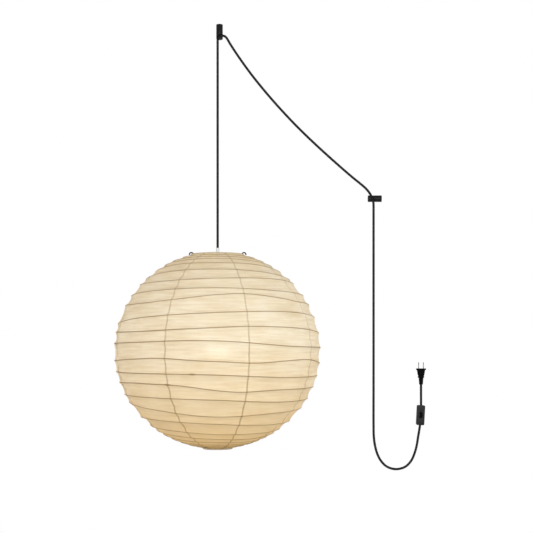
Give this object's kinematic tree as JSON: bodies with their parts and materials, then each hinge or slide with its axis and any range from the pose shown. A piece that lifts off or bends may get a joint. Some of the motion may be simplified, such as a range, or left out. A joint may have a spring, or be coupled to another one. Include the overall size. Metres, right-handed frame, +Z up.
{
  "type": "plug-in paper globe pendant lantern",
  "caption": "Ribbed paper globe lantern on a plug-in cord that swags over a ceiling hook and a wall hook, with an inline rocker switch.",
  "frame": {"origin": "centre of the ceiling hook's mounting face, on the ceiling", "axes": "+Z up into the ceiling, +X towards the wall that holds the wall hook, -Y to the front"},
  "size_m": [0.83, 0.5476, 1.1893],
  "materials": {
    "paper": "translucent natural washi, wrinkled, warm cream",
    "bamboo": "split bamboo, matt tan",
    "hem": "doubled washi strip, glued",
    "black_metal": "satin black powder coat",
    "steel": "zinc plated",
    "frame_wire": "drawn steel wire, dark",
    "cord": "braided textile sleeve, charcoal black",
    "moulded_black": "fine moulded texture",
    "rocker_black": "semi-gloss",
    "nylon": "translucent natural nylon",
    "white_insulator": "unglazed steatite",
    "brass": "plain",
    "diffuser": "opal, lit",
    "bulb_white": "satin white",
    "circuit_white": "white solder mask",
    "nickel": "nickel plated"
  },
  "bodies": {
    "fixings": {"ceiling_hook_body": "black_metal", "wall_hook_body": "black_metal", "ceiling_hook_plate": "steel", "ceiling_hook_grub_screw": "steel", "wall_hook_plate": "steel", "wall_hook_grub_screw": "steel", "cord_swag": "cord", "cord_tail": "cord", "cord_lead": "cord", "switch_case_front": "moulded_black", "switch_case_back": "moulded_black", "switch_pin": "steel", "switch_contact_upper": "brass", "switch_contact_lower": "brass", "switch_screw_upper": "steel", "switch_screw_lower": "steel", "plug_body": "moulded_black", "plug_strain_relief": "moulded_black", "plug_blade_left": "nickel", "plug_blade_right": "nickel"},
    "rocker": {"switch_rocker": "rocker_black"},
    "neck": {"cord_neck": "cord"},
    "drop": {"cord_drop": "cord"},
    "lamp": {"cord_grip": "nylon", "cord_grip_screw": "steel", "cord_inner": "cord", "holder_cap": "moulded_black", "holder_core": "white_insulator", "holder_skirt": "moulded_black", "holder_screw_shell": "brass", "holder_contact": "brass", "holder_terminal_screw_left": "brass", "holder_terminal_screw_right": "brass"},
    "bulb": {"bulb_dome": "diffuser", "bulb_housing": "bulb_white", "bulb_led_board": "circuit_white", "bulb_screw_cap": "nickel", "bulb_contact": "nickel"},
    "shade": {"frame_arm_left": "frame_wire", "frame_arm_right": "frame_wire", "frame_top_bar": "frame_wire", "frame_bottom_bar": "frame_wire", "shade_bottom_ring": "frame_wire", "shade_bottom_hem": "hem", "shade_gore_1": "paper", "shade_gore_2": "paper", "shade_gore_3": "paper", "shade_gore_4": "paper", "shade_gore_5": "paper", "shade_gore_6": "paper", "shade_gore_7": "paper", "shade_gore_8": "paper", "shade_rib_strip_1": "bamboo", "shade_rib_strip_2": "bamboo", "shade_rib_strip_3": "bamboo", "shade_rib_strip_4": "bamboo"},
    "top_ring": {"shade_top_ring": "frame_wire", "shade_top_hem": "hem"}
  },
  "joints": [
    {"name": "swing_sideways", "type": "hinge", "parent": "fixings", "child": "neck", "pos_m": [-0.005, 0, -0.049], "axis": [0, 1, 0], "range_deg": [-8, 25]},
    {"name": "swing_forwards", "type": "hinge", "parent": "neck", "child": "drop", "pos_m": [-0.005, 0, -0.058], "axis": [1, 0, 0], "range_deg": [-25, 25]},
    {"name": "lantern_turn", "type": "hinge", "parent": "drop", "child": "lamp", "pos_m": [-0.005, 0, -0.596], "axis": [0, 0, 1], "range_deg": [-180, 180]},
    {"name": "bulb_unscrew", "type": "hinge", "parent": "lamp", "child": "bulb", "pos_m": [-0.005, 0, -0.8], "axis": [0, 0, -1], "range_deg": [0, 1800]},
    {"name": "shade_lift", "type": "slide", "parent": "lamp", "child": "shade", "axis": [0, 0, 1], "range_m": [0, 0.215]},
    {"name": "shade_fold", "type": "slide", "parent": "shade", "child": "top_ring", "axis": [0, 0, 1], "range_m": [-0.465, 0], "deforming": ["shade_gore_1", "shade_gore_2", "shade_gore_3", "shade_gore_4", "shade_gore_5", "shade_gore_6", "shade_gore_7", "shade_gore_8", "shade_rib_strip_1", "shade_rib_strip_2", "shade_rib_strip_3", "shade_rib_strip_4"]},
    {"name": "switch_rock", "type": "hinge", "parent": "fixings", "child": "rocker", "pos_m": [0.5365, -0.0063, -1.042], "axis": [0.9986, 0, -0.0523], "range_deg": [-12, 0]}
  ]
}
